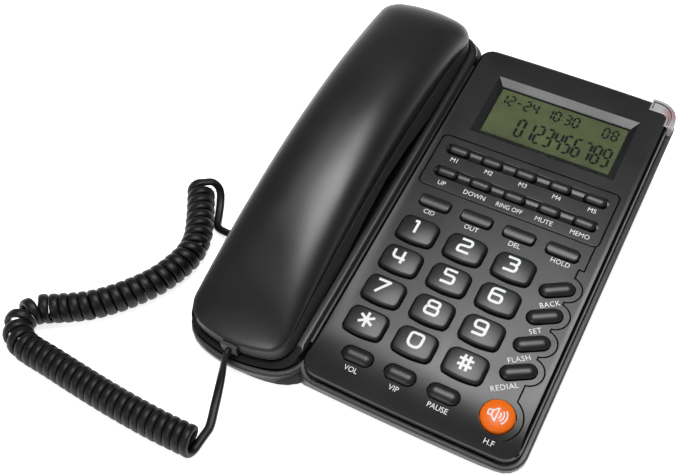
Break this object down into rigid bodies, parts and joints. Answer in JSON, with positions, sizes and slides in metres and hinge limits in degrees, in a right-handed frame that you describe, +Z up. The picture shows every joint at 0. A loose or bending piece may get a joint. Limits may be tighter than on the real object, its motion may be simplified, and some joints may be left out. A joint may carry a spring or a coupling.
{
  "type": "corded desk telephone",
  "caption": "Dark corded desk telephone with large number keys, a sloping panel with a caller display and ring lamp, and an arched handset on a curly cord.",
  "frame": {"origin": "on the table, under the middle of the base's plan", "axes": "+X to the right of a person at the telephone, +Y to the rear (up the sloping panel), +Z up"},
  "size_m": [0.2282, 0.2583, 0.0664],
  "materials": {
    "housing_plastic": "fine matt, dark grey",
    "cover_plastic": "fine matt, dark grey",
    "key_plastic": "satin black",
    "orange_key": "satin orange",
    "handset_plastic": "satin black",
    "clear_window": "clear, smooth",
    "lcd": "grey green liquid crystal",
    "lamp_cover": "clear, smooth",
    "lamp_red": "red tinted lens",
    "circuit_board": "green solder mask",
    "silicone": "matt, grey",
    "speaker_metal": "grey",
    "steel": "plain",
    "black_plastic": "matt black",
    "rubber": "matt black",
    "plug_clear": "clear moulded plug",
    "cord_jacket": "satin black jacket"
  },
  "bodies": {
    "base": {"lower_housing": "housing_plastic", "top_cover": "cover_plastic", "display_lens": "clear_window", "lcd_panel": "lcd", "lamp_lens": "lamp_cover", "ring_lamp": "lamp_red", "main_board": "circuit_board", "key_mat": "silicone", "loudspeaker": "speaker_metal", "hook_spring": "steel", "hook_switch": "black_plastic", "line_jack": "black_plastic", "base_jack": "black_plastic", "rubber_feet": "rubber", "housing_screws": "steel", "handset_lead": "cord_jacket", "curly_cord": "cord_jacket", "base_lead": "cord_jacket", "base_plug": "plug_clear"},
    "handset": {"handset_back": "handset_plastic", "handset_front": "handset_plastic", "receiver": "speaker_metal", "microphone": "speaker_metal", "handset_screws": "steel", "handset_plug": "plug_clear"},
    "hook": {"hook_plunger": "cover_plastic"},
    "key_star": {"key_star": "key_plastic"},
    "key_0": {"key_0": "key_plastic"},
    "key_hash": {"key_hash": "key_plastic"},
    "key_7": {"key_7": "key_plastic"},
    "key_8": {"key_8": "key_plastic"},
    "key_9": {"key_9": "key_plastic"},
    "key_4": {"key_4": "key_plastic"},
    "key_5": {"key_5": "key_plastic"},
    "key_6": {"key_6": "key_plastic"},
    "key_1": {"key_1": "key_plastic"},
    "key_2": {"key_2": "key_plastic"},
    "key_3": {"key_3": "key_plastic"},
    "key_m1": {"key_m1": "key_plastic"},
    "key_m2": {"key_m2": "key_plastic"},
    "key_m3": {"key_m3": "key_plastic"},
    "key_m4": {"key_m4": "key_plastic"},
    "key_m5": {"key_m5": "key_plastic"},
    "key_up": {"key_up": "key_plastic"},
    "key_down": {"key_down": "key_plastic"},
    "key_ring_off": {"key_ring_off": "key_plastic"},
    "key_mute": {"key_mute": "key_plastic"},
    "key_memo": {"key_memo": "key_plastic"},
    "key_cid": {"key_cid": "key_plastic"},
    "key_out": {"key_out": "key_plastic"},
    "key_del": {"key_del": "key_plastic"},
    "key_hold": {"key_hold": "key_plastic"},
    "key_back": {"key_back": "key_plastic"},
    "key_set": {"key_set": "key_plastic"},
    "key_flash": {"key_flash": "key_plastic"},
    "key_redial": {"key_redial": "key_plastic"},
    "key_vol": {"key_vol": "key_plastic"},
    "key_vip": {"key_vip": "key_plastic"},
    "key_pause": {"key_pause": "key_plastic"},
    "key_handsfree": {"key_handsfree": "orange_key"}
  },
  "joints": [
    {"name": "handset_lift", "type": "slide", "parent": "base", "child": "handset", "axis": [0, -0.165, 0.9863], "range_m": [0, 0.06]},
    {"name": "hook_rise", "type": "slide", "parent": "base", "child": "hook", "axis": [0, -0.165, 0.9863], "range_m": [0, 0.004], "deforming": ["hook_spring"]},
    {"name": "key_star_press", "type": "slide", "parent": "base", "child": "key_star", "axis": [0, 0.165, -0.9863], "range_m": [0, 0.0015], "stiffness_N_per_m": 500},
    {"name": "key_0_press", "type": "slide", "parent": "base", "child": "key_0", "axis": [0, 0.165, -0.9863], "range_m": [0, 0.0015], "stiffness_N_per_m": 500},
    {"name": "key_hash_press", "type": "slide", "parent": "base", "child": "key_hash", "axis": [0, 0.165, -0.9863], "range_m": [0, 0.0015], "stiffness_N_per_m": 500},
    {"name": "key_7_press", "type": "slide", "parent": "base", "child": "key_7", "axis": [0, 0.165, -0.9863], "range_m": [0, 0.0015], "stiffness_N_per_m": 500},
    {"name": "key_8_press", "type": "slide", "parent": "base", "child": "key_8", "axis": [0, 0.165, -0.9863], "range_m": [0, 0.0015], "stiffness_N_per_m": 500},
    {"name": "key_9_press", "type": "slide", "parent": "base", "child": "key_9", "axis": [0, 0.165, -0.9863], "range_m": [0, 0.0015], "stiffness_N_per_m": 500},
    {"name": "key_4_press", "type": "slide", "parent": "base", "child": "key_4", "axis": [0, 0.165, -0.9863], "range_m": [0, 0.0015], "stiffness_N_per_m": 500},
    {"name": "key_5_press", "type": "slide", "parent": "base", "child": "key_5", "axis": [0, 0.165, -0.9863], "range_m": [0, 0.0015], "stiffness_N_per_m": 500},
    {"name": "key_6_press", "type": "slide", "parent": "base", "child": "key_6", "axis": [0, 0.165, -0.9863], "range_m": [0, 0.0015], "stiffness_N_per_m": 500},
    {"name": "key_1_press", "type": "slide", "parent": "base", "child": "key_1", "axis": [0, 0.165, -0.9863], "range_m": [0, 0.0015], "stiffness_N_per_m": 500},
    {"name": "key_2_press", "type": "slide", "parent": "base", "child": "key_2", "axis": [0, 0.165, -0.9863], "range_m": [0, 0.0015], "stiffness_N_per_m": 500},
    {"name": "key_3_press", "type": "slide", "parent": "base", "child": "key_3", "axis": [0, 0.165, -0.9863], "range_m": [0, 0.0015], "stiffness_N_per_m": 500},
    {"name": "key_m1_press", "type": "slide", "parent": "base", "child": "key_m1", "axis": [0, 0.165, -0.9863], "range_m": [0, 0.0015], "stiffness_N_per_m": 500},
    {"name": "key_m2_press", "type": "slide", "parent": "base", "child": "key_m2", "axis": [0, 0.165, -0.9863], "range_m": [0, 0.0015], "stiffness_N_per_m": 500},
    {"name": "key_m3_press", "type": "slide", "parent": "base", "child": "key_m3", "axis": [0, 0.165, -0.9863], "range_m": [0, 0.0015], "stiffness_N_per_m": 500},
    {"name": "key_m4_press", "type": "slide", "parent": "base", "child": "key_m4", "axis": [0, 0.165, -0.9863], "range_m": [0, 0.0015], "stiffness_N_per_m": 500},
    {"name": "key_m5_press", "type": "slide", "parent": "base", "child": "key_m5", "axis": [0, 0.165, -0.9863], "range_m": [0, 0.0015], "stiffness_N_per_m": 500},
    {"name": "key_up_press", "type": "slide", "parent": "base", "child": "key_up", "axis": [0, 0.165, -0.9863], "range_m": [0, 0.0015], "stiffness_N_per_m": 500},
    {"name": "key_down_press", "type": "slide", "parent": "base", "child": "key_down", "axis": [0, 0.165, -0.9863], "range_m": [0, 0.0015], "stiffness_N_per_m": 500},
    {"name": "key_ring_off_press", "type": "slide", "parent": "base", "child": "key_ring_off", "axis": [0, 0.165, -0.9863], "range_m": [0, 0.0015], "stiffness_N_per_m": 500},
    {"name": "key_mute_press", "type": "slide", "parent": "base", "child": "key_mute", "axis": [0, 0.165, -0.9863], "range_m": [0, 0.0015], "stiffness_N_per_m": 500},
    {"name": "key_memo_press", "type": "slide", "parent": "base", "child": "key_memo", "axis": [0, 0.165, -0.9863], "range_m": [0, 0.0015], "stiffness_N_per_m": 500},
    {"name": "key_cid_press", "type": "slide", "parent": "base", "child": "key_cid", "axis": [0, 0.165, -0.9863], "range_m": [0, 0.0015], "stiffness_N_per_m": 500},
    {"name": "key_out_press", "type": "slide", "parent": "base", "child": "key_out", "axis": [0, 0.165, -0.9863], "range_m": [0, 0.0015], "stiffness_N_per_m": 500},
    {"name": "key_del_press", "type": "slide", "parent": "base", "child": "key_del", "axis": [0, 0.165, -0.9863], "range_m": [0, 0.0015], "stiffness_N_per_m": 500},
    {"name": "key_hold_press", "type": "slide", "parent": "base", "child": "key_hold", "axis": [0, 0.165, -0.9863], "range_m": [0, 0.0015], "stiffness_N_per_m": 500},
    {"name": "key_back_press", "type": "slide", "parent": "base", "child": "key_back", "axis": [0, 0.165, -0.9863], "range_m": [0, 0.0015], "stiffness_N_per_m": 500},
    {"name": "key_set_press", "type": "slide", "parent": "base", "child": "key_set", "axis": [0, 0.165, -0.9863], "range_m": [0, 0.0015], "stiffness_N_per_m": 500},
    {"name": "key_flash_press", "type": "slide", "parent": "base", "child": "key_flash", "axis": [0, 0.165, -0.9863], "range_m": [0, 0.0015], "stiffness_N_per_m": 500},
    {"name": "key_redial_press", "type": "slide", "parent": "base", "child": "key_redial", "axis": [0, 0.165, -0.9863], "range_m": [0, 0.0015], "stiffness_N_per_m": 500},
    {"name": "key_vol_press", "type": "slide", "parent": "base", "child": "key_vol", "axis": [0, 0.165, -0.9863], "range_m": [0, 0.0015], "stiffness_N_per_m": 500},
    {"name": "key_vip_press", "type": "slide", "parent": "base", "child": "key_vip", "axis": [0, 0.165, -0.9863], "range_m": [0, 0.0015], "stiffness_N_per_m": 500},
    {"name": "key_pause_press", "type": "slide", "parent": "base", "child": "key_pause", "axis": [0, 0.165, -0.9863], "range_m": [0, 0.0015], "stiffness_N_per_m": 500},
    {"name": "key_handsfree_press", "type": "slide", "parent": "base", "child": "key_handsfree", "axis": [0, 0.165, -0.9863], "range_m": [0, 0.0015], "stiffness_N_per_m": 500}
  ],
  "couplings": [
    {"joint": "hook_rise", "follows": "handset_lift", "ratio": 0.066667}
  ]
}
